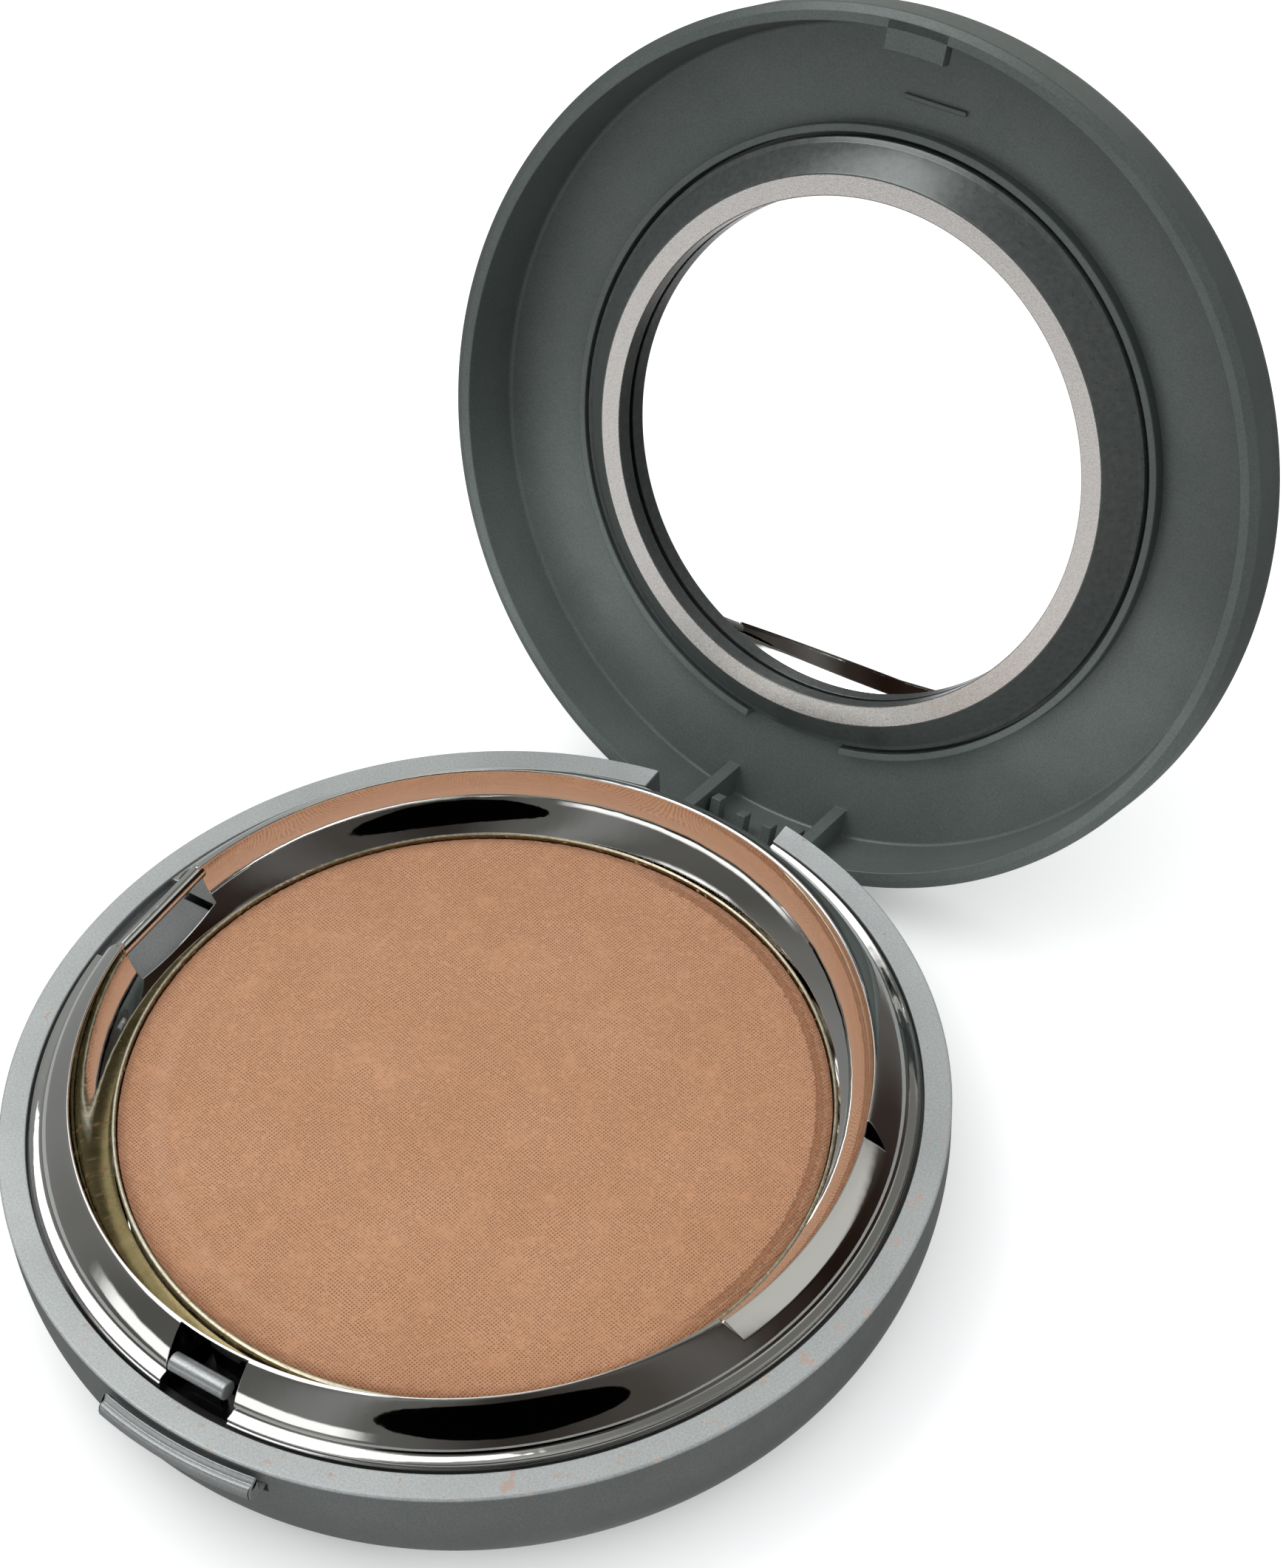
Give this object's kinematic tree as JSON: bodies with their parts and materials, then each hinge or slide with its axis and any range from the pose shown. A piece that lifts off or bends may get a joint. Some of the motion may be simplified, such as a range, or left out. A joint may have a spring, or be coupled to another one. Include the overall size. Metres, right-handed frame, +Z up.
{
  "type": "powder compact",
  "caption": "Round powder compact, open: satin case with a push catch, chromed tray with a pan of pressed powder, hinged lid with a framed round mirror.",
  "frame": {"origin": "centre of the flat underside of the base, on the table", "axes": "+Z up out of the base, +Y towards the hinge, so the push button faces -Y; +X to the right seen from the front"},
  "size_m": [0.078, 0.1187, 0.0738],
  "materials": {
    "base_plastic": "fine satin blue-grey, metallic pigment",
    "lid_plastic": "fine satin dark green-grey",
    "button_plastic": "satin grey, slightly glossier than the base",
    "chrome_plating": "bright mirror chrome plating on plastic",
    "frame_plating": "bright plating with a satin ring face",
    "lacquered_tin": "gold lacquered tinplate with a pale bare rim",
    "pressed_powder": "matte pressed powder with a fine woven emboss",
    "mirror": "silvered glass",
    "foam_tape": "off-white adhesive foam",
    "label_film": "blank pale film",
    "pin_steel": "drawn steel wire",
    "spring_steel": "drawn spring wire"
  },
  "bodies": {
    "base": {"base_shell": "base_plastic", "hinge_pin": "pin_steel", "base_label": "label_film", "pan_tray": "chrome_plating", "pan": "lacquered_tin", "powder_cake": "pressed_powder", "pan_adhesive_pad": "foam_tape", "button_spring": "spring_steel"},
    "lid": {"lid_shell": "lid_plastic", "mirror_frame": "frame_plating", "mirror_glass": "mirror", "mirror_tape": "foam_tape"},
    "button": {"push_button": "button_plastic"}
  },
  "joints": [
    {"name": "lid_hinge", "type": "hinge", "parent": "base", "child": "lid", "pos_m": [0, 0.03676, 0.00678], "axis": [-1, 0, 0], "range_deg": [-113, 0]},
    {"name": "button_press", "type": "slide", "parent": "base", "child": "button", "axis": [0, 1, 0], "range_m": [0, 0.0004], "stiffness_N_per_m": 600, "springref_m": -0.0008, "deforming": ["button_spring"]}
  ]
}
